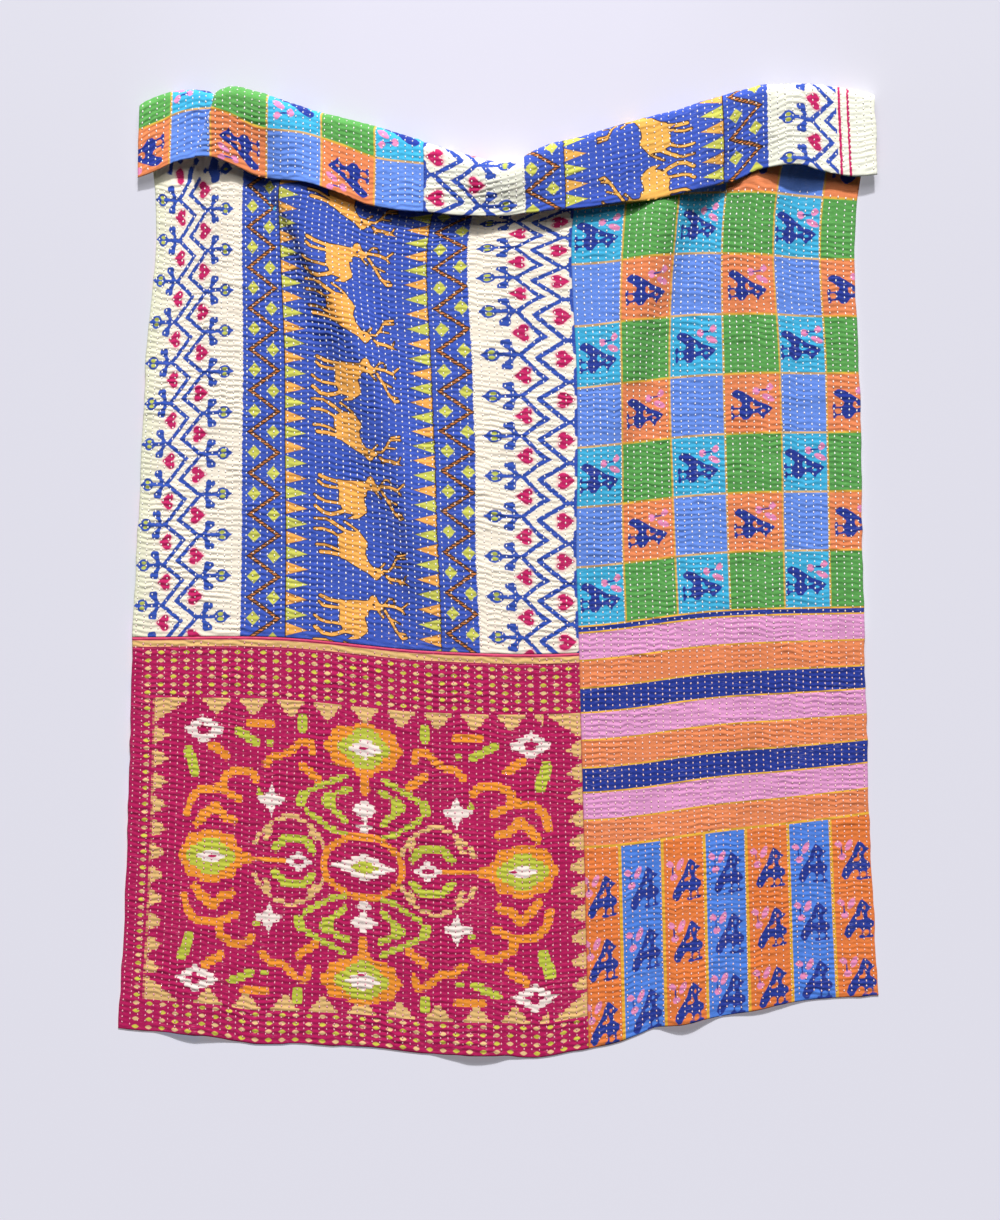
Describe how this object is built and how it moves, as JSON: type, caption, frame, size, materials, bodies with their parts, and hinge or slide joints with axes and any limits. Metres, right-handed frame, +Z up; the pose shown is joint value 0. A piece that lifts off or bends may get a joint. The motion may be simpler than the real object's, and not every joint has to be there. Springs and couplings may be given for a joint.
{
  "type": "kantha quilt",
  "caption": "Hand-stitched patchwork quilt lying flat with its top edge turned over onto its face, in cotton panels with deer, birds, checks and medallions.",
  "frame": {"origin": "on the floor, under the middle of the quilt's plan box", "axes": "+Z up from the floor the quilt lies on, +Y from the bottom hem to the turned-over top, +X from the left edge to the right as seen from above with the top away"},
  "size_m": [1.276, 1.6292, 0.0648],
  "materials": {
    "deer_cotton": "matt printed cotton",
    "medallion_cotton": "matt printed cotton",
    "check_cotton": "matt printed cotton"
  },
  "bodies": {
    "root": {"front_deer_panel": "deer_cotton", "front_medallion_panel": "medallion_cotton", "front_check_panel": "check_cotton", "back_deer_panel": "deer_cotton", "back_medallion_panel": "medallion_cotton", "back_check_panel": "check_cotton"}
  },
  "joints": []
}
